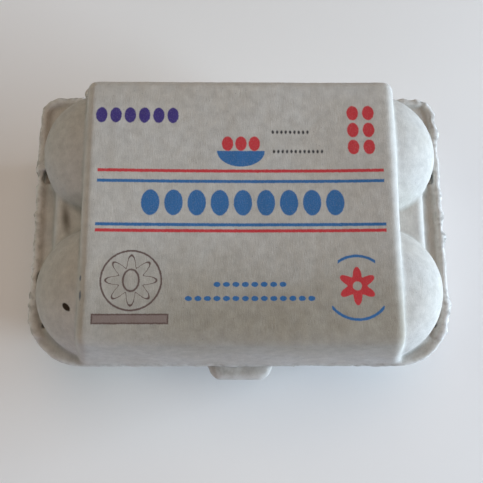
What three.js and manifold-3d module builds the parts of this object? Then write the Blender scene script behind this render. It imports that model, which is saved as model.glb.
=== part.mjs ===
// A shut egg carton for six eggs, moulded from paper pulp. Its lid has a broad raised panel, a little dished,
// and two domes at each end over the corner eggs, with a stepped valley between them. The tray below has six
// tapered cups. A strip along the back folds as the hinge, and a nose on the tray locks the front.
//
// Millimetres, +Z up, the carton's length along X and its front towards -Y.
// The origin is on the table, under the middle of the carton.

import * as THREE from "three";
import { mergeVertices } from "three/addons/utils/BufferGeometryUtils.js";
import Module from "manifold-3d";

const wasm = await Module();
wasm.setup();

// Driving dimensions
const HEIGHT = 68; // table to the edge of the lid's panel, the highest place
const SEAM_HEIGHT = 38; // where the lid's rim rests on the tray's
const SEAM_GAP = 0.3; // clearance between the lid and the tray
const REACH_Y = 56; // from the middle out to the tip of the nose, and back to the hinge
const EGG_PITCH_X = 48.6;
const EGG_PITCH_Y = 50.8;

const LID_HALF_LENGTH = 76.4; // over the lid's rim
const LID_HALF_WIDTH = 51.4;
const TRAY_INSET = 0.8; // how far the tray's rim lies inside the lid's
const FRONT_CORNER = 20; // radius of the lid's rim in plan at the front
const BACK_CORNER = 8;
const RIM_THICKNESS = 2.2;
const LIP_WIDTH = 2.6; // the raised lip along the lid's ends
const LIP_RISE = 1.3;
const LIP_START_X = 60; // the lip runs from here on the back edge, round the corner
const LIP_END_Y = -41; // and forwards to here

const DOME_RADIUS = 23.5;
const DOME_SPRING = 46.8; // where a dome's steep wall turns into its rounded top
const DOME_DROP = 2.5; // how far the domes' tops lie below the panel's edge

const PANEL_HALF_LENGTH = 53.8; // the panel's top, over its rounded edge
const PANEL_HALF_WIDTH = 46.4;
const PANEL_FOOT_HALF_LENGTH = 57.8; // where the panel's walls meet the rim
const PANEL_FOOT_HALF_WIDTH = 50.9;
const PANEL_FOOT_CORNER = 2.6;
const PANEL_CORNER = 3.4;
const PANEL_EDGE_ROUND = 3;
const PANEL_FRONT_ROUND = 5.5; // the front edge turns down over a longer way than the others
const PANEL_DISH = 1.4; // how far the panel's middle has sunk below its edge

const TERRACE_HEIGHT = 49.5; // the upper floor of the valley at each end
const TERRACE_HALF_LENGTH = 66.3;
const TERRACE_FOOT_HALF_LENGTH = 69.3;
const PIT_HALF_SPREAD = 19.3; // from the middle of an end to each of its two pits
const PIT_LENGTH = 4.8;
const PIT_WIDTH = 3.4;
const SMALL_PIT = { x: 70.6, y: -36.6, size: 2.4 }; // where the lip ends beside a front dome
const LEDGE_LENGTH = 3.4; // the small ledge on the lip beside a back dome
const LEDGE_WIDTH = 4;
const LEDGE_RISE = 0.6;

const CUP_TOP_RADIUS = 24;
const CUP_FOOT_RADIUS = 14;
const DECK_HEIGHT = 23; // underside of the web that joins the cups
const DECK_HALF_LENGTH = 72.2; // the web where it meets the rim
const DECK_HALF_WIDTH = 48.6;
const DECK_LEAN = 3.9; // how far the web's walls lean in towards its underside
const POST_MOUTH_RADIUS = 8.6; // the hollow posts between four cups
const POST_TOP_RADIUS = 5.2;
const FOOT_DIMPLE_RADIUS = 6.5;
const FOOT_DIMPLE_DEPTH = 1.6;

const NOSE_HALF_LENGTH = 11.8; // at its root
const NOSE_TIP_HALF_LENGTH = 7.2;
const NOSE_UNDERSIDE = 28.5;
const NOSE_LEAN = 4.6; // how far the underside leans back
const HINGE_HALF_LENGTH = 60;

const SIDES_ROUND = 44; // facets round a dome or a cup
const STEPS_CORNER = 8; // facets round a corner in plan
const STEPS_SIDE = 5; // stretches along a straight side in plan

const LID_BOTTOM = SEAM_HEIGHT + SEAM_GAP / 2;
const LID_RIM_TOP = LID_BOTTOM + RIM_THICKNESS;
const TRAY_TOP = SEAM_HEIGHT - SEAM_GAP / 2;
const TRAY_RIM_BOTTOM = TRAY_TOP - RIM_THICKNESS;

const pulp = new THREE.MeshStandardMaterial({ color: 0xc4c0b8, roughness: 0.93, metalness: 0 });

// Turns a closed geometry into a solid that can be joined and cut.
function solid(geometry) {
  const bare = geometry.clone();
  bare.deleteAttribute("normal");
  bare.deleteAttribute("uv");
  const merged = mergeVertices(bare, 1e-4);
  return new wasm.Manifold(
    new wasm.Mesh({
      numProp: 3,
      vertProperties: new Float32Array(merged.attributes.position.array),
      triVerts: new Uint32Array(merged.index.array),
    }),
  );
}

function unite(solids) {
  return solids.reduce((whole, piece) => whole.add(piece));
}

// Turns a finished solid into a named mesh in the given finish.
function mesh(name, shape, material) {
  const { vertProperties, triVerts } = shape.getMesh();
  const indexed = new THREE.BufferGeometry();
  indexed.setAttribute("position", new THREE.BufferAttribute(vertProperties, 3));
  indexed.setIndex(new THREE.BufferAttribute(triVerts, 1));
  const geometry = indexed.toNonIndexed();
  geometry.computeVertexNormals();
  const made = new THREE.Mesh(geometry, material);
  made.name = name;
  return made;
}

function box([x0, x1], [y0, y1], [z0, z1]) {
  const geometry = new THREE.BoxGeometry(x1 - x0, y1 - y0, z1 - z0);
  geometry.translate((x0 + x1) / 2, (y0 + y1) / 2, (z0 + z1) / 2);
  return solid(geometry);
}

// The points of a rounded rectangle about the origin, counter-clockwise, the same number at any size.
// Its corners may be rounder at the front than at the back.
function roundedRectangle(halfX, halfY, backCorner, frontCorner) {
  const corners = [[1, 1, backCorner], [-1, 1, backCorner], [-1, -1, frontCorner], [1, -1, frontCorner]];
  const arcs = corners.map(([sx, sy, corner], quarter) =>
    Array.from({ length: STEPS_CORNER + 1 }, (_, i) => {
      const angle = (quarter + i / STEPS_CORNER) * (Math.PI / 2);
      return [
        sx * (halfX - corner) + corner * Math.cos(angle),
        sy * (halfY - corner) + corner * Math.sin(angle),
      ];
    }),
  );
  return arcs.flatMap((arc, quarter) => {
    const [x0, y0] = arc[STEPS_CORNER];
    const [x1, y1] = arcs[(quarter + 1) % arcs.length][0];
    const side = Array.from({ length: STEPS_SIDE - 1 }, (_, i) => {
      const share = (i + 1) / STEPS_SIDE;
      return [x0 + (x1 - x0) * share, y0 + (y1 - y0) * share];
    });
    return [...arc, ...side];
  });
}

// A closed skin through rings of points, from the lowest ring up, capped at both ends.
function skin(outlines, low, high) {
  const positions = [];
  const count = outlines[0].length;
  for (let i = 0; i < count; i++) {
    const j = (i + 1) % count;
    positions.push(...low, ...outlines[0][j], ...outlines[0][i]);
    for (let k = 0; k + 1 < outlines.length; k++) {
      const [a, b] = [outlines[k][i], outlines[k][j]];
      const [c, d] = [outlines[k + 1][i], outlines[k + 1][j]];
      positions.push(...a, ...b, ...d, ...a, ...d, ...c);
    }
    positions.push(...high, ...outlines[outlines.length - 1][i], ...outlines[outlines.length - 1][j]);
  }
  const geometry = new THREE.BufferGeometry();
  geometry.setAttribute("position", new THREE.Float32BufferAttribute(positions, 3));
  return solid(geometry);
}

// A solid through level rounded rectangles. Each ring is { z, halfX, halfY, back, front }.
function loft(rings) {
  const outlines = rings.map(({ z, halfX, halfY, back, front }) =>
    roundedRectangle(halfX, halfY, back, front).map(([x, y]) => [x, y, z]),
  );
  return skin(outlines, [0, 0, rings[0].z], [0, 0, rings[rings.length - 1].z]);
}

// A solid of revolution about an upright axis through (x, y), from [radius, height] pairs.
function turned(profile, x, y) {
  const geometry = new THREE.LatheGeometry(profile.map(([r, z]) => new THREE.Vector2(r, z)), SIDES_ROUND);
  geometry.rotateX(Math.PI / 2);
  geometry.translate(x, y, 0);
  return solid(geometry);
}

// One level ring of the rims' outline, a given way inside the lid's edge
function rimRing(z, inset) {
  return {
    z,
    halfX: LID_HALF_LENGTH - inset,
    halfY: LID_HALF_WIDTH - inset,
    back: BACK_CORNER - inset,
    front: FRONT_CORNER - inset,
  };
}

// A flat rim with its edge eased, such as each half of the carton has round its mouth
function rim(bottom, inset) {
  const ease = 0.5;
  const top = bottom + RIM_THICKNESS;
  return loft([
    rimRing(bottom, inset + ease),
    rimRing(bottom + ease, inset),
    rimRing(top - ease, inset),
    rimRing(top, inset + ease),
  ]);
}

// Lid: the raised lip that follows the rim's edge along one end, round the back corner
function lip(side) {
  const top = LID_RIM_TOP + LIP_RISE;
  const outer = loft([rimRing(LID_BOTTOM + 0.7, 0.1), rimRing(top - 0.5, 0.1), rimRing(top, 0.6)]);
  const inner = loft([rimRing(LID_BOTTOM, LIP_WIDTH), rimRing(top + 1, LIP_WIDTH)]);
  const reach = box(
    [LIP_START_X, LID_HALF_LENGTH + 1],
    [LIP_END_Y, LID_HALF_WIDTH + 1],
    [LID_BOTTOM, top + 1],
  );
  const bead = outer.subtract(inner).intersect(reach);
  return side > 0 ? bead : bead.mirror([1, 0, 0]);
}

// Lid: the upper floor between two end domes, with its step down to the rim
function terrace(side) {
  const hiddenHalfWidth = 27;
  const inward = 50;
  const outline = new THREE.Shape([
    new THREE.Vector2(inward, LID_BOTTOM + 0.9),
    new THREE.Vector2(TERRACE_FOOT_HALF_LENGTH, LID_BOTTOM + 0.9),
    new THREE.Vector2(TERRACE_HALF_LENGTH + 0.6, TERRACE_HEIGHT - 1.4),
    new THREE.Vector2(TERRACE_HALF_LENGTH - 0.8, TERRACE_HEIGHT),
    new THREE.Vector2(inward, TERRACE_HEIGHT),
  ]);
  const geometry = new THREE.ExtrudeGeometry(outline, { depth: 2 * hiddenHalfWidth, bevelEnabled: false });
  geometry.rotateX(Math.PI / 2);
  geometry.translate(0, hiddenHalfWidth, 0);
  const block = solid(geometry);
  return side > 0 ? block : block.mirror([1, 0, 0]);
}

// Lid: one dome, a rounded top on a steep wall
function dome(x, y) {
  const steps = 11;
  const rise = HEIGHT - DOME_DROP - DOME_SPRING;
  const profile = [[0, LID_BOTTOM + 0.8], [DOME_RADIUS + 0.5, LID_BOTTOM + 0.8]];
  for (let i = 0; i < steps; i++) {
    const angle = (i / steps) * (Math.PI / 2);
    profile.push([DOME_RADIUS * Math.cos(angle), DOME_SPRING + rise * Math.sin(angle)]);
  }
  profile.push([0, DOME_SPRING + rise]);
  return turned(profile, x, y);
}

// Lid: the raised panel, with leaning walls, a rounded edge and a top that sinks towards the middle
function panel() {
  const roundSteps = 4;
  const dishSteps = 6;
  const foot = roundedRectangle(
    PANEL_FOOT_HALF_LENGTH,
    PANEL_FOOT_HALF_WIDTH,
    PANEL_FOOT_CORNER,
    PANEL_FOOT_CORNER,
  ).map(([x, y]) => [x, y, LID_BOTTOM + 0.7]);
  const edge = Array.from({ length: roundSteps + 1 }, (_, i) => {
    const angle = (i / roundSteps) * (Math.PI / 2);
    const inset = PANEL_EDGE_ROUND * (1 - Math.cos(angle));
    const z = HEIGHT - PANEL_EDGE_ROUND * (1 - Math.sin(angle));
    const corner = PANEL_CORNER - inset;
    const frontScale = 1 - ((PANEL_FRONT_ROUND / PANEL_EDGE_ROUND - 1) * inset) / PANEL_HALF_WIDTH;
    return roundedRectangle(PANEL_HALF_LENGTH - inset, PANEL_HALF_WIDTH - inset, corner, corner).map(
      ([x, y]) => [x, y < 0 ? y * frontScale : y, z],
    );
  });
  const flatX = PANEL_HALF_LENGTH - PANEL_EDGE_ROUND;
  const flatY = PANEL_HALF_WIDTH - PANEL_EDGE_ROUND;
  const sink = (x, y) => PANEL_DISH * Math.max(0, 1 - (x / flatX) ** 2) * Math.max(0, 1 - (y / flatY) ** 2);
  const brim = edge[roundSteps];
  const dish = Array.from({ length: dishSteps - 1 }, (_, i) => {
    const share = 1 - (i + 1) / dishSteps;
    return brim.map(([x, y]) => [x * share, y * share, HEIGHT - sink(x * share, y * share)]);
  });
  return skin([foot, ...edge, ...dish], [0, 0, LID_BOTTOM + 0.7], [0, 0, HEIGHT - PANEL_DISH]);
}

// Lid: the small ledge on the lip beside a back dome, just behind that dome's pit
function ledge(side) {
  const outer = LID_HALF_LENGTH - 0.4;
  const front = PIT_HALF_SPREAD + PIT_LENGTH / 2 + 0.2;
  const pad = box(
    [outer - LEDGE_WIDTH, outer],
    [front, front + LEDGE_LENGTH],
    [LID_RIM_TOP - 1, LID_RIM_TOP + LIP_RISE + LEDGE_RISE],
  );
  return side > 0 ? pad : pad.mirror([1, 0, 0]);
}

// Lid: a pit through the rim at the foot of a dome, inside the lip
function pit(side, x, y, width, length) {
  const hole = box(
    [x - width / 2, x + width / 2],
    [y - length / 2, y + length / 2],
    [LID_BOTTOM - 1, LID_RIM_TOP + 1],
  );
  return side > 0 ? hole : hole.mirror([1, 0, 0]);
}

function lid() {
  const sides = [-1, 1];
  const parts = [
    rim(LID_BOTTOM, 0),
    panel(),
    ...sides.map(lip),
    ...sides.map(terrace),
    ...sides.map(ledge),
    ...sides.flatMap((sx) => sides.map((sy) => dome(sx * EGG_PITCH_X, (sy * EGG_PITCH_Y) / 2))),
  ];
  const pitX = LID_HALF_LENGTH - LIP_WIDTH + 0.2 - PIT_WIDTH / 2;
  const pits = sides.flatMap((side) => [
    pit(side, pitX, PIT_HALF_SPREAD, PIT_WIDTH, PIT_LENGTH),
    pit(side, pitX, -PIT_HALF_SPREAD, PIT_WIDTH, PIT_LENGTH),
    pit(side, SMALL_PIT.x, SMALL_PIT.y, SMALL_PIT.size, SMALL_PIT.size),
  ]);
  return unite(parts).subtract(unite(pits));
}

// Tray: one cup, tapering in a curve to a flat foot with a dimple under it
function cup(x, y) {
  const steps = 8;
  const heelRadius = CUP_FOOT_RADIUS + 1;
  const heelZ = 1.2;
  const top = TRAY_RIM_BOTTOM + 0.8;
  const profile = [
    [0, FOOT_DIMPLE_DEPTH],
    [FOOT_DIMPLE_RADIUS * 0.55, FOOT_DIMPLE_DEPTH],
    [FOOT_DIMPLE_RADIUS, 0],
    [CUP_FOOT_RADIUS, 0],
  ];
  for (let i = 0; i <= steps; i++) {
    const share = i / steps;
    const swell = Math.sin((share * Math.PI) / 2) ** 0.85;
    profile.push([heelRadius + (CUP_TOP_RADIUS - heelRadius) * swell, heelZ + (top - heelZ) * share]);
  }
  profile.push([0, top]);
  return turned(profile, x, y);
}

// Tray: the web that joins the cups under the rim
function deck() {
  const backCorner = 11;
  const frontCorner = 21;
  const ring = (z, inset) => ({
    z,
    halfX: DECK_HALF_LENGTH - inset,
    halfY: DECK_HALF_WIDTH - inset,
    back: backCorner - inset,
    front: frontCorner - inset,
  });
  return loft([
    ring(DECK_HEIGHT, DECK_LEAN),
    ring(DECK_HEIGHT + 3, DECK_LEAN * 0.55),
    ring(TRAY_RIM_BOTTOM + 1, 0),
  ]);
}

// The hollow of a post that stands between four cups, open below
function postHollow(x) {
  const roof = TRAY_TOP - 2.6;
  const profile = [
    [0, DECK_HEIGHT - 2],
    [POST_MOUTH_RADIUS + 1, DECK_HEIGHT - 2],
    [POST_MOUTH_RADIUS, DECK_HEIGHT + 1],
    [POST_TOP_RADIUS, roof - 1.4],
    [POST_TOP_RADIUS - 1.6, roof],
    [0, roof],
  ];
  return turned(profile, x, 0);
}

// Tray: the nose that locks the front, rounded in plan, with a leaning underside
function nose() {
  const rootY = -46;
  const bevel = 1.8;
  const wingY = -50.5;
  const rounded = NOSE_HALF_LENGTH - bevel;
  const tipY = -REACH_Y + bevel;
  const shape = new THREE.Shape();
  shape.moveTo(rounded, rootY);
  shape.lineTo(-rounded, rootY);
  shape.lineTo(-rounded, wingY);
  shape.quadraticCurveTo(-rounded + 0.6, tipY, -NOSE_TIP_HALF_LENGTH, tipY);
  shape.lineTo(NOSE_TIP_HALF_LENGTH, tipY);
  shape.quadraticCurveTo(rounded - 0.6, tipY, rounded, wingY);
  const geometry = new THREE.ExtrudeGeometry(shape, {
    depth: TRAY_TOP - NOSE_UNDERSIDE - 2 * bevel,
    curveSegments: 6,
    bevelThickness: bevel,
    bevelSize: bevel,
    bevelSegments: 3,
  });
  geometry.translate(0, 0, NOSE_UNDERSIDE + bevel);
  // The underside leans back to the tray, so that the half can leave its mould.
  const leanTop = SEAM_HEIGHT - 3;
  const spots = geometry.attributes.position;
  for (let i = 0; i < spots.count; i++) {
    const below = Math.max(0, (leanTop - spots.getZ(i)) / (leanTop - NOSE_UNDERSIDE));
    spots.setY(i, spots.getY(i) + NOSE_LEAN * below ** 1.4);
  }
  return solid(geometry);
}

// Hinge: the strip folded over the back edges of both rims, a flattened half round
function hinge() {
  const innerY = LID_HALF_WIDTH + SEAM_GAP;
  const rootY = LID_HALF_WIDTH - TRAY_INSET - 0.8;
  const halfHeight = 4.4;
  const steps = 8;
  const points = [[rootY, TRAY_RIM_BOTTOM + 0.4], [innerY, TRAY_RIM_BOTTOM - 1.6]];
  for (let i = 1; i < steps; i++) {
    const angle = (i / steps - 0.5) * Math.PI;
    points.push([
      innerY + (REACH_Y - innerY) * Math.cos(angle),
      SEAM_HEIGHT + halfHeight * Math.sin(angle),
    ]);
  }
  points.push([innerY, SEAM_HEIGHT + halfHeight - 0.2], [innerY, TRAY_TOP], [rootY, TRAY_TOP]);
  const outline = new THREE.Shape(points.map(([y, z]) => new THREE.Vector2(y, z)));
  const geometry = new THREE.ExtrudeGeometry(outline, { depth: 2 * HINGE_HALF_LENGTH, bevelEnabled: false });
  geometry.rotateX(Math.PI / 2);
  geometry.rotateZ(Math.PI / 2);
  geometry.translate(-HINGE_HALF_LENGTH, 0, 0);
  return solid(geometry);
}

function tray() {
  const cups = [-1, 0, 1].flatMap((ix) => [-1, 1].map((sy) => cup(ix * EGG_PITCH_X, (sy * EGG_PITCH_Y) / 2)));
  return unite([rim(TRAY_RIM_BOTTOM, TRAY_INSET), deck(), ...cups])
    .subtract(postHollow(EGG_PITCH_X / 2))
    .subtract(postHollow(-EGG_PITCH_X / 2))
    .add(nose())
    .add(hinge());
}

const carton = new THREE.Group();
carton.add(mesh("lid", lid(), pulp));
carton.add(mesh("tray", tray(), pulp));

export default carton;
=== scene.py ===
# A shut carton of six eggs in pale moulded pulp, printed on its raised panel and seen from almost above.
# Metres, +Z up, the carton's length along X and its front towards -Y, as in the CAD frame.
import math

import bmesh
import bpy
from mathutils import Matrix, Vector, noise


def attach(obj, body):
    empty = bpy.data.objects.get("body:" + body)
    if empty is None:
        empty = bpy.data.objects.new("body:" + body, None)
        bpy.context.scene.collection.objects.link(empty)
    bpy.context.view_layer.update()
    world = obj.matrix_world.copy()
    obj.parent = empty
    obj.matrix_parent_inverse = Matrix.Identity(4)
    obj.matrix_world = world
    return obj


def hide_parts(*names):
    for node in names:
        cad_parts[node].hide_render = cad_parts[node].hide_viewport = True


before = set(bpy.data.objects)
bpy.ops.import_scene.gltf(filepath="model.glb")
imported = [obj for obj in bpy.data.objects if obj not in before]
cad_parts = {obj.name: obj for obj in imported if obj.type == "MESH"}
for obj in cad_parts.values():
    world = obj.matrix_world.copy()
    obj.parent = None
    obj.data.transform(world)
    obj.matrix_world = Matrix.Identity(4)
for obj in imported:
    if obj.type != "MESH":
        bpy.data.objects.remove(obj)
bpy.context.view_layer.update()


# The camera looks down on the panel from 25 cm, a little from the front and turned a touch, so the front
# wall and the nose show below the panel and the far rim is hidden behind it.
MM = 0.001
AIM = Vector((0.4, -7.8, 50)) * MM
CAMERA_DISTANCE = 253.4 * MM
CAMERA_TILT = math.radians(13)
CAMERA_AZIMUTH = math.radians(-5)
CAMERA_ROLL = math.radians(4.9)

backwards = Vector((
    math.sin(CAMERA_AZIMUTH) * math.sin(CAMERA_TILT),
    -math.cos(CAMERA_AZIMUTH) * math.sin(CAMERA_TILT),
    math.cos(CAMERA_TILT),
))
level_right = Vector((math.cos(CAMERA_AZIMUTH), math.sin(CAMERA_AZIMUTH), 0))
level_up = backwards.cross(level_right)
camera_right = math.cos(CAMERA_ROLL) * level_right + math.sin(CAMERA_ROLL) * level_up
camera_up = backwards.cross(camera_right)
camera = bpy.data.objects.new("camera", bpy.data.cameras.new("camera"))
camera.data.lens = 52.8
camera.data.sensor_width = 36
camera.data.clip_start = 0.01
camera.matrix_world = Matrix.Translation(AIM + backwards * CAMERA_DISTANCE) @ Matrix(
    (camera_right, camera_up, backwards)
).transposed().to_4x4()
bpy.context.collection.objects.link(camera)
bpy.context.scene.camera = camera


# Studio light: a broad cool softbox stands low beside the right end like a window, a warm one hangs
# overhead, and two weak ones fill from the left and the front. All are turned to the carton, and the
# surround is dim.
CARTON_MIDDLE = Vector((0, 0, 50)) * MM
SURROUND_STRENGTH = 0.03


def softbox(name, place, width, height, power, colour):
    light = bpy.data.lights.new(name, "AREA")
    light.shape = "RECTANGLE"
    light.size = width
    light.size_y = height
    light.energy = power
    light.color = colour
    lamp = bpy.data.objects.new(name, light)
    lamp.location = place
    lamp.rotation_euler = (CARTON_MIDDLE - Vector(place)).to_track_quat("-Z", "Y").to_euler()
    bpy.context.collection.objects.link(lamp)


softbox("window_box", (1.13, -0.10, 0.30), width=0.8, height=0.3, power=25.5, colour=(0.69, 0.84, 1.0))
softbox("overhead_box", (0.1, 0.35, 1.3), width=1.0, height=1.0, power=4.6, colour=(1.0, 0.71, 0.53))
softbox("left_box", (-0.9, 0.1, 0.7), width=0.8, height=0.8, power=2.7, colour=(0.94, 1.0, 0.91))
softbox("front_box", (-0.25, -1.15, 0.25), width=0.8, height=0.3, power=2.25, colour=(0.92, 0.82, 1.0))
surround = bpy.data.worlds.new("surround")
surround.use_nodes = True
surround.node_tree.nodes["Background"].inputs["Color"].default_value = (1, 1, 1, 1)
surround.node_tree.nodes["Background"].inputs["Strength"].default_value = SURROUND_STRENGTH
bpy.context.scene.world = surround
bpy.context.scene.view_settings.view_transform = "Standard"


# The table is a sheet of smooth white paper, wide enough to fill the view from every side.
# Its matt face has no pattern that could show at this distance.
def linear(colour):
    """An sRGB hex colour as the linear values that a socket takes."""
    channels = [int(colour[i:i + 2], 16) / 255 for i in (1, 3, 5)]
    return [c / 12.92 if c <= 0.04045 else ((c + 0.055) / 1.055) ** 2.4 for c in channels] + [1]


FLOOR_HALF = 3.0
floor_form = bmesh.new()
bmesh.ops.create_grid(floor_form, x_segments=1, y_segments=1, size=FLOOR_HALF)
floor_mesh = bpy.data.meshes.new("floor")
floor_form.to_mesh(floor_mesh)
floor_form.free()
white_paper = bpy.data.materials.new("white backdrop paper")
white_paper.use_nodes = True
white_paper.node_tree.nodes["Principled BSDF"].inputs["Base Color"].default_value = linear("#f4f3f1")
white_paper.node_tree.nodes["Principled BSDF"].inputs["Roughness"].default_value = 0.9
floor_mesh.materials.append(white_paper)
floor = bpy.data.objects.new("floor", floor_mesh)
bpy.context.collection.objects.link(floor)


# The lid is moulded pulp, about 2 mm thick, with a broad raised panel, four domes and a stepped valley at
# each end. It is sucked onto a wire mould and dried, so edges are soft, faces wave and the rim is ragged.
# It lies on the tray's rim, held by the fold along the back and the nose at the front.
LID_SKIN = 0.7 * MM  # spacing of the skin's points
LID_SOFTENING = 4  # rounds of smoothing that soften the edges
LID_WAVE = 0.24 * MM  # how far its faces wave

WAVE = 26 * MM  # lengths of the long and the short waves in a face, and of its lumps
SHORT_WAVE = 9 * MM
SHORT_WAVE_SHARE = 0.3
LUMP = 3.2 * MM
LUMP_HEIGHT = 0.05 * MM
CREASE_REACH = 12  # rounds of smoothing that tell a crease or an edge from a flat face
CREASE_DEPTH = 0.5 * MM

RIM_HALF_LENGTH = 76.4 * MM
RIM_HALF_WIDTH = 51.4 * MM
RIM_BACK_CORNER = 8 * MM
RIM_FRONT_CORNER = 20 * MM
RIM_BAND = 3.8 * MM  # the rim frays from here in out to its outline
RIM_LEVEL = 39.6 * MM
RIM_FULL = 1.4 * MM  # it frays fully this far above and below that level, and not at all from RIM_CLEAR
RIM_CLEAR = 3.4 * MM
LIP_START_X = 60 * MM  # the raised lip at each end runs from here, round the back corner
LIP_END_Y = -40 * MM  # and forwards to here
OFF_LIP = 0.3  # how much of the fraying the rest of the rim gets
PATCH = 13 * MM  # size of the more and the less torn stretches
PATCH_TORN = 0.7  # how torn a stretch is on average, how far that swings, and how torn it is at least
PATCH_SWING = 0.9
PATCH_LEAST = 0.25
TATTER = 4.3 * MM  # spacing of the tatters, and of the shreds and holes in them
SHRED = 1.9 * MM
SHRED_SHARE = 0.6
TATTER_HEIGHT = 1.2 * MM
HOLE_DEPTH = 2.4 * MM
HOLE_START = 0.3  # a hole begins where its noise is above this
HOLE_SHIFT = Vector((9, 4, 2))  # takes the holes' noise from another place than the shreds'
CORNER_START_X = 50 * MM  # from here out, the front right corner's edge is turned up
CORNER_WIDTH_X = 8 * MM  # the turn grows over these lengths
CORNER_WIDTH_Y = 5 * MM
CORNER_LIFT = 1.8 * MM


def moulded(node, name, step, softening):
    """A node's solid with an even skin and the soft edges of pulp."""
    piece = bpy.data.objects.new(name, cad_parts[node].data.copy())
    bpy.context.collection.objects.link(piece)
    form = bmesh.new()
    form.from_mesh(piece.data)
    bmesh.ops.remove_doubles(form, verts=form.verts, dist=0.001 * MM)
    form.to_mesh(piece.data)
    form.free()
    piece.data.materials.clear()
    skin = piece.modifiers.new("even skin", "REMESH")
    skin.mode = "VOXEL"
    skin.voxel_size = step
    ease = piece.modifiers.new("soft edges", "SMOOTH")
    ease.factor = 0.5
    ease.iterations = softening
    bpy.context.view_layer.update()
    rough = piece.data
    piece.data = bpy.data.meshes.new_from_object(piece.evaluated_get(bpy.context.evaluated_depsgraph_get()))
    piece.modifiers.clear()
    piece.data.name = name
    bpy.data.meshes.remove(rough)
    return piece


def ramp(value, clear, full):
    """How far a value has gone from clear, which gives 0, to full, which gives 1."""
    return min(max((value - clear) / (full - clear), 0), 1)


def outside_rim(place):
    """How far a place lies outside the rim's outline, seen from above. Less than nothing inside."""
    corner = RIM_BACK_CORNER if place.y > 0 else RIM_FRONT_CORNER
    across = abs(place.x) - RIM_HALF_LENGTH + corner
    along = abs(place.y) - RIM_HALF_WIDTH + corner
    return min(max(across, along), 0) + math.hypot(max(across, 0), max(along, 0)) - corner


def weather(piece, wave, pressed=lambda place: 0):
    """Waves a piece's faces, frays its rim and presses it in where told, by the depth that pressed gives.

    Keeps how frayed and how creased each place is, for the colour.
    """
    form = bmesh.new()
    form.from_mesh(piece.data)
    form.normal_update()
    frayed = form.verts.layers.float.new("frayed")
    creased = form.verts.layers.float.new("creased")
    relaxed = form.copy()
    for _ in range(CREASE_REACH):
        bmesh.ops.smooth_vert(
            relaxed, verts=relaxed.verts, factor=0.5, use_axis_x=True, use_axis_y=True, use_axis_z=True
        )
    for vert, moved in zip(form.verts, relaxed.verts):
        vert[creased] = (moved.co - vert.co).dot(vert.normal) / CREASE_DEPTH
    relaxed.free()
    moves = []
    for vert in form.verts:
        place = vert.co
        waves = noise.noise(place / WAVE) + SHORT_WAVE_SHARE * noise.noise(place / SHORT_WAVE)
        lumps = noise.noise(place / LUMP)
        on_rim = ramp(outside_rim(place), -RIM_BAND, 0) * ramp(abs(place.z - RIM_LEVEL), RIM_CLEAR, RIM_FULL)
        on_lip = abs(place.x) > LIP_START_X and place.y > LIP_END_Y
        patchy = min(max(PATCH_TORN + PATCH_SWING * noise.noise(place / PATCH), PATCH_LEAST), 1)
        fray = on_rim * patchy * (1 if on_lip else OFF_LIP)
        tatters = noise.noise(place / TATTER) + SHRED_SHARE * noise.noise(place / SHRED)
        holes = max(noise.noise(place / SHRED + HOLE_SHIFT) - HOLE_START, 0)
        vert[frayed] = fray
        outwards = waves * wave + lumps * LUMP_HEIGHT + fray * (tatters * TATTER_HEIGHT - holes * HOLE_DEPTH)
        at_corner = ramp(place.x, CORNER_START_X, CORNER_START_X + CORNER_WIDTH_X)
        at_corner *= ramp(place.y, LIP_END_Y, LIP_END_Y - CORNER_WIDTH_Y)
        lift = Vector((0, 0, on_rim * at_corner * CORNER_LIFT))
        moves.append(vert.normal * (outwards - pressed(place)) + lift)
    for vert, move in zip(form.verts, moves):
        vert.co += move
        vert.co.z = max(vert.co.z, 0)
    for face in form.faces:
        face.smooth = True
    form.to_mesh(piece.data)
    form.free()


lid = moulded("lid", "lid_pulp", LID_SKIN, LID_SOFTENING)
weather(lid, LID_WAVE)

# Moulded pulp is waste paper: matt, pale grey with warm and cool drifts, felted of short fibres, with a
# few dark specks of old print. Shade is painted into its creases, a highlight is painted on its edges, and
# the rim shows shreds.
FIBRE = 0.35 * MM  # width of a clump of fibres, drawn coarser than the real 0.03 mm so that it shows
FIBRE_RELIEF = 0.12 * MM
FIBRE_TURN = (0.3, 0.5, 0.9)  # the way that the longer fibres lie
FIBRE_STRETCH = (1, 0.16, 1)  # they are about six times as long as the clumps
DRIFT = 19 * MM  # size of the warm and cool areas
MOTTLE = 3.2 * MM  # size of the paler and darker clouds in the felt
SPECK = 0.9 * MM  # spacing of cells of which a few are specks
SPECK_RARITY = 0.965  # the share of cells without one
SPECK_RADIUS = 0.17  # in cells
SPECK_STRENGTH = 0.45
SHRED_TONE = 2.1 * MM  # size of the pale and dark shreds on the torn rim
SHRED_STRENGTH = 0.85
WARM_PULP = "#bdb7ab"
COOL_PULP = "#c4c4c1"
OLD_INK = "#5c6068"
# the colour of the shade painted into creases and pits
CREASE_SHADE = "#6f6b60"
# the colour of the highlight painted on convex edges
EDGE_HIGHLIGHT_PULP = "#dddcd8"
SHADED_SHRED = "#85837b"
PALE_SHRED = "#dededb"


def add(tree, kind, links=None, **settings):
    """Adds a node with its settings, and links or sets its inputs. Gives back the node."""
    made = tree.nodes.new(kind)
    for name, value in settings.items():
        setattr(made, name, value)
    for name, value in (links or {}).items():
        if isinstance(value, bpy.types.NodeSocket):
            tree.links.new(value, made.inputs[name])
        else:
            made.inputs[name].default_value = value
    return made


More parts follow.
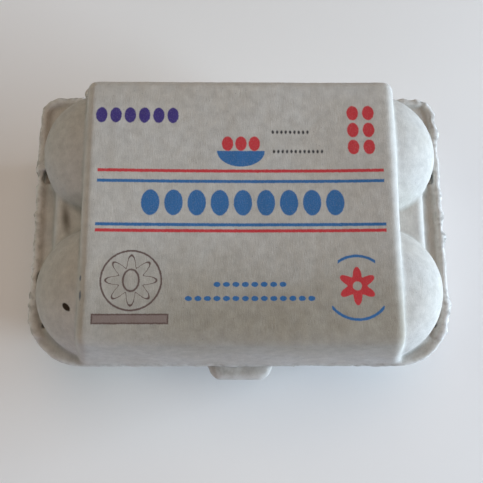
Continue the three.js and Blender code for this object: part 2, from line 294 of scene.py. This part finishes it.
def moulded_pulp(name):
    """The bare pulp. Gives back the material, its node tree, its coordinates and its colour's socket."""
    material = bpy.data.materials.new(name)
    material.use_nodes = True
    tree = material.node_tree
    place = add(tree, "ShaderNodeTexCoord").outputs["Object"]
    drift = add(
        tree, "ShaderNodeTexNoise",
        {"Vector": place, "Scale": 1 / DRIFT, "Detail": 3.0, "Roughness": 0.55},
    )
    drifted = add(
        tree, "ShaderNodeMix",
        {"Factor": drift.outputs["Fac"], "A": linear(WARM_PULP), "B": linear(COOL_PULP)},
        data_type="RGBA",
    )
    felt = add(
        tree, "ShaderNodeTexNoise",
        {"Vector": place, "Scale": 1 / FIBRE, "Detail": 3.0, "Roughness": 0.6},
    )
    long_fibre = add(
        tree, "ShaderNodeMapping",
        {"Vector": place, "Rotation": FIBRE_TURN, "Scale": FIBRE_STRETCH},
    )
    strands = add(
        tree, "ShaderNodeTexNoise",
        {"Vector": long_fibre.outputs["Vector"], "Scale": 1 / FIBRE, "Detail": 2.0, "Distortion": 0.6},
    )
    clumps = add(tree, "ShaderNodeMath", {0: felt.outputs["Fac"], 1: strands.outputs["Fac"]}, operation="ADD")
    shade = add(
        tree, "ShaderNodeMapRange",
        {"Value": clumps.outputs[0], "From Min": 0.7, "From Max": 1.3, "To Min": 0.92, "To Max": 1.06},
    )
    clouds = add(
        tree, "ShaderNodeTexNoise",
        {"Vector": place, "Scale": 1 / MOTTLE, "Detail": 4.0, "Roughness": 0.6},
    )
    clouded = add(
        tree, "ShaderNodeMapRange",
        {"Value": clouds.outputs["Fac"], "From Min": 0.3, "From Max": 0.7, "To Min": 0.89, "To Max": 1.09},
    )
    tone = add(
        tree, "ShaderNodeMath",
        {0: shade.outputs["Result"], 1: clouded.outputs["Result"]},
        operation="MULTIPLY",
    )
    felted = add(
        tree, "ShaderNodeVectorMath",
        {0: drifted.outputs["Result"], "Scale": tone.outputs[0]},
        operation="SCALE",
    )
    cells = add(tree, "ShaderNodeTexVoronoi", {"Vector": place, "Scale": 1 / SPECK})
    chance = add(tree, "ShaderNodeSeparateColor", {"Color": cells.outputs["Color"]})
    chosen = add(
        tree, "ShaderNodeMath", {0: chance.outputs["Red"], 1: SPECK_RARITY}, operation="GREATER_THAN"
    )
    small = add(
        tree, "ShaderNodeMath", {0: cells.outputs["Distance"], 1: SPECK_RADIUS}, operation="LESS_THAN"
    )
    specks = add(tree, "ShaderNodeMath", {0: chosen.outputs[0], 1: small.outputs[0]}, operation="MULTIPLY")
    speck_strength = add(
        tree, "ShaderNodeMath", {0: specks.outputs[0], 1: SPECK_STRENGTH}, operation="MULTIPLY"
    )
    specked = add(
        tree, "ShaderNodeMix",
        {"Factor": speck_strength.outputs[0], "A": felted.outputs["Vector"], "B": linear(OLD_INK)},
        data_type="RGBA",
    )
    # Painted shade: creases and pits are made darker here, by how concave they are.
    crease = add(tree, "ShaderNodeAttribute", attribute_name="creased")
    crease_shade_amount = add(
        tree, "ShaderNodeMapRange",
        {"Value": crease.outputs["Fac"], "From Min": 0.1, "From Max": 0.9, "To Min": 0.0, "To Max": 0.5},
    )
    crease_shaded = add(
        tree, "ShaderNodeMix",
        {"Factor": crease_shade_amount.outputs["Result"], "A": specked.outputs["Result"], "B": linear(CREASE_SHADE)},
        data_type="RGBA",
    )
    # Painted highlight: convex edges are made paler here, as where light catches a rounded edge.
    edge_highlight = add(
        tree, "ShaderNodeMapRange",
        {"Value": crease.outputs["Fac"], "From Min": -0.12, "From Max": -0.75, "To Min": 0.0, "To Max": 0.6},
    )
    edge_highlighted = add(
        tree, "ShaderNodeMix",
        {"Factor": edge_highlight.outputs["Result"], "A": crease_shaded.outputs["Result"], "B": linear(EDGE_HIGHLIGHT_PULP)},
        data_type="RGBA",
    )
    fray = add(tree, "ShaderNodeAttribute", attribute_name="frayed")
    shreds = add(tree, "ShaderNodeTexNoise", {"Vector": place, "Scale": 1 / SHRED_TONE, "Detail": 3.0})
    shred_tone = add(tree, "ShaderNodeValToRGB", {"Fac": shreds.outputs["Fac"]})
    shred_tone.color_ramp.elements[0].position = 0.38
    shred_tone.color_ramp.elements[0].color = linear(SHADED_SHRED)
    shred_tone.color_ramp.elements[1].position = 0.56
    shred_tone.color_ramp.elements[1].color = linear(PALE_SHRED)
    shred_amount = add(
        tree, "ShaderNodeMath", {0: fray.outputs["Fac"], 1: SHRED_STRENGTH}, operation="MULTIPLY"
    )
    frayed = add(
        tree, "ShaderNodeMix",
        {"Factor": shred_amount.outputs[0], "A": edge_highlighted.outputs["Result"], "B": shred_tone.outputs["Color"]},
        data_type="RGBA",
    )
    bump = add(
        tree, "ShaderNodeBump",
        {"Height": clumps.outputs[0], "Strength": 0.4, "Distance": FIBRE_RELIEF},
    )
    shader = tree.nodes["Principled BSDF"]
    tree.links.new(frayed.outputs["Result"], shader.inputs["Base Color"])
    tree.links.new(bump.outputs["Normal"], shader.inputs["Normal"])
    shader.inputs["Roughness"].default_value = 0.92
    shader.inputs["IOR"].default_value = 1.47
    shader.inputs["Specular IOR Level"].default_value = 0.3
    return material, tree, place, frayed.outputs["Result"]


printed_pulp, ink_tree, ink_place, bare_colour = moulded_pulp("moulded pulp, printed")

# The print is flexographic ink, flat and a little broken up by the fibres, on the panel's top only. Its
# places and sizes are in millimetres from the panel's middle. Fibres pull an edge about and soften it.
INK_EDGE = 0.14  # how far an edge fades, to each side
INK_WANDER = 0.35  # how far an edge is pulled about
WANDER = 0.8 * MM  # spacing of the fibres that pull
COVERAGE = 0.45 * MM  # spacing of the fibres that take less ink
PRINT_BOTTOM = 62.0  # the print fades in between these heights, so none lands on rim or domes
PRINT_TOP = 63.0

in_millimetres = add(ink_tree, "ShaderNodeVectorMath", {0: ink_place, "Scale": 1 / MM}, operation="SCALE")
on_carton = add(ink_tree, "ShaderNodeSeparateXYZ", {0: in_millimetres.outputs[0]})
wander = add(ink_tree, "ShaderNodeTexNoise", {"Vector": ink_place, "Scale": 1 / WANDER, "Detail": 2.0})
wander_centred = add(
    ink_tree, "ShaderNodeVectorMath", {0: wander.outputs["Color"], 1: (0.5, 0.5, 0.5)}, operation="SUBTRACT"
)
wander_scaled = add(
    ink_tree, "ShaderNodeVectorMath", {0: wander_centred.outputs[0], "Scale": INK_WANDER}, operation="SCALE"
)
wandering = add(
    ink_tree, "ShaderNodeVectorMath",
    {0: in_millimetres.outputs[0], 1: wander_scaled.outputs[0]},
    operation="ADD",
)
sheet = add(
    ink_tree, "ShaderNodeVectorMath", {0: wandering.outputs[0], 1: (1, 1, 0)}, operation="MULTIPLY"
).outputs[0]


def inked(distance):
    """How much ink lies at a signed distance from a shape's edge, less than nothing inside."""
    return add(
        ink_tree, "ShaderNodeMapRange",
        {"Value": distance, "From Min": INK_EDGE, "From Max": -INK_EDGE, "To Min": 0.0, "To Max": 1.0},
    ).outputs["Result"]


def cut(shape, tool, inside):
    """What of a shape lies inside another one, or else what lies outside it."""
    if not inside:
        tool = add(ink_tree, "ShaderNodeMath", {0: 1.0, 1: tool}, operation="SUBTRACT").outputs[0]
    return add(ink_tree, "ShaderNodeMath", {0: shape, 1: tool}, operation="MINIMUM").outputs[0]


def block(x, y, half_x, half_y):
    """A plain rectangle."""
    offset = add(ink_tree, "ShaderNodeVectorMath", {0: sheet, 1: (x, y, 0)}, operation="SUBTRACT")
    apart = add(ink_tree, "ShaderNodeVectorMath", {0: offset.outputs[0]}, operation="ABSOLUTE")
    beyond = add(
        ink_tree, "ShaderNodeVectorMath", {0: apart.outputs[0], 1: (half_x, half_y, 0)}, operation="SUBTRACT"
    )
    parts = add(ink_tree, "ShaderNodeSeparateXYZ", {0: beyond.outputs[0]})
    farther = add(
        ink_tree, "ShaderNodeMath", {0: parts.outputs["X"], 1: parts.outputs["Y"]}, operation="MAXIMUM"
    )
    return inked(farther.outputs[0])


def eggs(x, y, radius_x, radius_y, columns=1, rows=1, pitch_x=20, pitch_y=20):
    """Rows of ovals about a middle, or one oval."""
    half = Vector((columns * pitch_x / 2, rows * pitch_y / 2, 0))
    corner = Vector((x, y, 0)) - half
    from_corner = add(ink_tree, "ShaderNodeVectorMath", {0: sheet, 1: corner}, operation="SUBTRACT")
    in_cell = add(
        ink_tree, "ShaderNodeVectorMath",
        {0: from_corner.outputs[0], 1: (pitch_x, pitch_y, 1), 2: (0, 0, 0)},
        operation="WRAP",
    )
    centred = add(
        ink_tree, "ShaderNodeVectorMath",
        {0: in_cell.outputs[0], 1: (pitch_x / 2, pitch_y / 2, 0)},
        operation="SUBTRACT",
    )
    scaled = add(
        ink_tree, "ShaderNodeVectorMath",
        {0: centred.outputs[0], 1: (1, radius_x / radius_y, 0)},
        operation="MULTIPLY",
    )
    reach = add(ink_tree, "ShaderNodeVectorMath", {0: scaled.outputs[0]}, operation="LENGTH")
    distance = add(ink_tree, "ShaderNodeMath", {0: reach.outputs["Value"], 1: radius_x}, operation="SUBTRACT")
    return cut(inked(distance.outputs[0]), block(x, y, half.x, half.y), inside=True)


def ring(x, y, radius, width):
    """A circle's line."""
    offset = add(ink_tree, "ShaderNodeVectorMath", {0: sheet, 1: (x, y, 0)}, operation="SUBTRACT")
    reach = add(ink_tree, "ShaderNodeVectorMath", {0: offset.outputs[0]}, operation="LENGTH")
    off_line = add(ink_tree, "ShaderNodeMath", {0: reach.outputs["Value"], 1: radius}, operation="SUBTRACT")
    apart = add(ink_tree, "ShaderNodeMath", {0: off_line.outputs[0]}, operation="ABSOLUTE")
    distance = add(ink_tree, "ShaderNodeMath", {0: apart.outputs[0], 1: width / 2}, operation="SUBTRACT")
    return inked(distance.outputs[0])


PETAL_DEPTH = 0.24  # how far a flower's edge swings in and out, as a share of its radius


def flower(x, y, radius, petals):
    """A flower of rounded petals."""
    offset = add(ink_tree, "ShaderNodeVectorMath", {0: sheet, 1: (x, y, 0)}, operation="SUBTRACT")
    reach = add(ink_tree, "ShaderNodeVectorMath", {0: offset.outputs[0]}, operation="LENGTH")
    parts = add(ink_tree, "ShaderNodeSeparateXYZ", {0: offset.outputs[0]})
    angle = add(
        ink_tree, "ShaderNodeMath", {0: parts.outputs["X"], 1: parts.outputs["Y"]}, operation="ARCTAN2"
    )
    turns = add(ink_tree, "ShaderNodeMath", {0: angle.outputs[0], 1: petals}, operation="MULTIPLY")
    lobes = add(ink_tree, "ShaderNodeMath", {0: turns.outputs[0]}, operation="COSINE")
    edge = add(
        ink_tree, "ShaderNodeMath",
        {0: lobes.outputs[0], 1: radius * PETAL_DEPTH, 2: radius * (1 - PETAL_DEPTH)},
        operation="MULTIPLY_ADD",
    )
    distance = add(
        ink_tree, "ShaderNodeMath", {0: reach.outputs["Value"], 1: edge.outputs[0]}, operation="SUBTRACT"
    )
    return inked(distance.outputs[0])


# Painted shade darkens the front of the panel, more to the right, up to the turn of its front edge. The
# painted shade thins out towards the panel's middle, in blotches, and stops short of the panel's ends.
FRONT_SHADE_TINT = (0.69, 0.66, 0.60, 1)
FRONT_SHADE_BLOTCH = 14 * MM
FRONT_SHADE_SHIFT = 4.0  # how far blotches move its back boundary, in millimetres

blotches = add(ink_tree, "ShaderNodeTexNoise", {"Vector": ink_place, "Scale": 1 / FRONT_SHADE_BLOTCH, "Detail": 4.0})
shift = add(
    ink_tree, "ShaderNodeMapRange",
    {
        "Value": blotches.outputs["Fac"],
        "From Min": 0.3, "From Max": 0.7, "To Min": -FRONT_SHADE_SHIFT, "To Max": FRONT_SHADE_SHIFT,
    },
).outputs["Result"]
shifted_y = add(ink_tree, "ShaderNodeMath", {0: on_carton.outputs["Y"], 1: shift}, operation="ADD").outputs[0]
front_shade_bounds = [  # a coordinate in millimetres, where the painted shade is clear and where it is full
    (shifted_y, -3.0, -42.0),
    (on_carton.outputs["Y"], -50.8, -44.8),
    (on_carton.outputs["X"], -55.0, -52.0),
    (on_carton.outputs["X"], 55.0, 52.0),
]
# Painted shade: the panel's front is multiplied darker here, more to the right.
front_shade = add(
    ink_tree, "ShaderNodeMapRange",
    {"Value": on_carton.outputs["X"], "From Min": -48.0, "From Max": -18.0, "To Min": 0.5, "To Max": 1.0},
).outputs["Result"]
for value, clear, full in front_shade_bounds:
    bound = add(
        ink_tree, "ShaderNodeMapRange",
        {"Value": value, "From Min": clear, "From Max": full, "To Min": 0.0, "To Max": 1.0},
        interpolation_type="SMOOTHSTEP",
    )
    front_shade = add(
        ink_tree, "ShaderNodeMath", {0: front_shade, 1: bound.outputs["Result"]}, operation="MULTIPLY"
    ).outputs[0]
surface = add(
    ink_tree, "ShaderNodeMix",
    {"Factor": front_shade, "A": bare_colour, "B": FRONT_SHADE_TINT},
    data_type="RGBA", blend_type="MULTIPLY",
).outputs["Result"]

# The inks, each with its shapes: double stripes with a row of eggs between them, a basket of eggs, rows of
# small eggs, a flower between arcs, a stamp, a bar below it, two specks and rows of dots.
BLUE_INK = "#2e6ba6"
RED_INK = "#c9343c"
PURPLE_INK = "#3c2d7c"
THIN_BROWN_INK = "#8b7c76"
BROWN_INK = "#63504c"
GREY_INK = "#6c747c"
BLACK_INK = "#333236"
STRIPE_HALF_LENGTH = 48.6
STRIPE_HALF_WIDTH = 0.55
FLOWER = (38.1, -26.8)  # its middle, and that of the two arcs above and below it
ARCS = (38.1, -27.0)
STAMP = (-36.2, -24.9)
BAR = (-36.2, -37.6)  # the filled bar below the stamp
inks = [
    (BLUE_INK, [
        block(0, 9.3, STRIPE_HALF_LENGTH, STRIPE_HALF_WIDTH),
        block(0, -5.9, STRIPE_HALF_LENGTH, STRIPE_HALF_WIDTH),
        eggs(0.6, 1.8, 3.1, 4.5, columns=9, pitch_x=7.8),
        cut(eggs(0, 20.2, 8.2, 5.6), block(0, 17, 10, 3.2), inside=True),
        eggs(2.8, -26.2, 1.15, 0.85, columns=8, pitch_x=3.1),
        eggs(2.8, -30.9, 1.15, 0.85, columns=14, pitch_x=3.1),
        cut(ring(*ARCS, 10.3, 0.9), block(38.1, -17.5, 6.2, 3), inside=True),
        cut(ring(*ARCS, 10.9, 0.9), block(38.1, -36.8, 8.6, 3.4), inside=True),
    ]),
    (RED_INK, [
        block(0, 13.0, STRIPE_HALF_LENGTH, STRIPE_HALF_WIDTH),
        block(0, -8.0, STRIPE_HALF_LENGTH, STRIPE_HALF_WIDTH),
        eggs(0, 22.8, 1.95, 2.6, columns=3, pitch_x=4.6),
        eggs(41.4, 27.7, 2.0, 2.65, columns=2, rows=3, pitch_x=5.4, pitch_y=6.2),
        cut(flower(*FLOWER, 6.4, 6), eggs(*FLOWER, 1.5, 1.5), inside=False),
    ]),
    (PURPLE_INK, [
        eggs(-35.7, 32.9, 1.95, 2.8, columns=6, pitch_x=4.9),
    ]),
    (THIN_BROWN_INK, [
        block(*BAR, 12.2, 1.4),
    ]),
    (BROWN_INK, [
        ring(*STAMP, 9.9, 0.6),
        cut(flower(*STAMP, 8.7, 8), flower(*STAMP, 8.0, 8), inside=False),
        cut(eggs(*STAMP, 2.9, 3.9), eggs(*STAMP, 2.3, 3.3), inside=False),
        cut(block(*BAR, 12.5, 1.7), block(*BAR, 12.0, 1.2), inside=False),
    ]),
    (GREY_INK, [
        eggs(-52.8, -24.1, 0.35, 0.9),
        eggs(-52.6, -29.8, 0.4, 1.5),
    ]),
    (BLACK_INK, [
        eggs(17.0, 27.0, 0.42, 0.62, columns=9, pitch_x=1.5, pitch_y=1.5),
        eggs(19.6, 20.0, 0.42, 0.62, columns=12, pitch_x=1.5, pitch_y=1.5),
    ]),
]

upper = add(
    ink_tree, "ShaderNodeMapRange",
    {
        "Value": on_carton.outputs["Z"],
        "From Min": PRINT_BOTTOM, "From Max": PRINT_TOP, "To Min": 0.0, "To Max": 1.0,
    },
)
coverage_noise = add(
    ink_tree, "ShaderNodeTexNoise",
    {"Vector": ink_place, "Scale": 1 / COVERAGE, "Detail": 3.0, "Roughness": 0.65},
)
coverage = add(
    ink_tree, "ShaderNodeMapRange",
    {
        "Value": coverage_noise.outputs["Fac"],
        "From Min": 0.3, "From Max": 0.5, "To Min": 0.84, "To Max": 0.97,
    },
)
held = add(
    ink_tree, "ShaderNodeMath",
    {0: coverage.outputs["Result"], 1: upper.outputs["Result"]},
    operation="MULTIPLY",
)
for colour, shapes in inks:
    printed = shapes[0]
    for shape in shapes[1:]:
        printed = add(ink_tree, "ShaderNodeMath", {0: printed, 1: shape}, operation="MAXIMUM").outputs[0]
    strength = add(ink_tree, "ShaderNodeMath", {0: printed, 1: held.outputs[0]}, operation="MULTIPLY")
    surface = add(
        ink_tree, "ShaderNodeMix",
        {"Factor": strength.outputs[0], "A": surface, "B": linear(colour)},
        data_type="RGBA",
    ).outputs["Result"]

# A dark fleck of dirt, 3.6 mm long and slanting, sits on the front left dome, and a soft dark brown streak of
# painted shade runs along the step in the left valley from the back dome. Each is an oval: its middle, half
# its size, its turn, how far in it is full, its strength and its colour.
OVAL_EDGE = 1.1  # where an oval begins, as a share of its size
stains_and_shade = [
    ((-57.9, -33.0, 62.2), (1.9, 1.0, 4), -45, 0.75, 1.0, "#33281d"),
    # painted shade: the dark streak along the shaded step of the left valley
    ((-62.6, 0.6, 49.5), (8.0, 2.2, 4), -82, 0.0, 0.75, "#4d4333"),
]
for middle, half_size, turn, full, most, colour in stains_and_shade:
    in_oval = add(
        ink_tree, "ShaderNodeMapping",
        {
            "Vector": wandering.outputs[0], "Location": middle,
            "Rotation": (0, 0, math.radians(turn)), "Scale": half_size,
        },
        vector_type="TEXTURE",
    )
    from_middle = add(ink_tree, "ShaderNodeVectorMath", {0: in_oval.outputs["Vector"]}, operation="LENGTH")
    stain_and_shade = add(
        ink_tree, "ShaderNodeMapRange",
        {
            "Value": from_middle.outputs["Value"],
            "From Min": OVAL_EDGE, "From Max": full, "To Min": 0.0, "To Max": most,
        },
        interpolation_type="SMOOTHSTEP",
    )
    surface = add(
        ink_tree, "ShaderNodeMix",
        {"Factor": stain_and_shade.outputs["Result"], "A": surface, "B": linear(colour)},
        data_type="RGBA",
    ).outputs["Result"]
ink_tree.links.new(surface, ink_tree.nodes["Principled BSDF"].inputs["Base Color"])
lid.data.materials.append(printed_pulp)
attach(lid, "root")
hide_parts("lid")


# The tray is the same pulp, moulded with the lid: six tapered cups on flat feet under a web and rim, two
# hollow posts between them, and the nose that locks the front. The strip that joins it to the lid along the
# back is scored where it folds.
TRAY_SKIN = 0.9 * MM
TRAY_SOFTENING = 3
TRAY_WAVE = 0.2 * MM
FOLD_LEVEL = 38 * MM
FOLD_START_Y = 53.6 * MM
SCORE_HALF_WIDTH = 1.1 * MM
SCORE_DEPTH = 0.6 * MM


def scored(place):
    """How deep the fold's score is pressed in at a place."""
    if place.y < FOLD_START_Y:
        return 0
    return SCORE_DEPTH * ramp(abs(place.z - FOLD_LEVEL), SCORE_HALF_WIDTH, 0)


tray = moulded("tray", "tray_pulp", TRAY_SKIN, TRAY_SOFTENING)
weather(tray, TRAY_WAVE, scored)
plain_pulp = moulded_pulp("moulded pulp")[0]
tray.data.materials.append(plain_pulp)
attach(tray, "root")
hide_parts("tray")
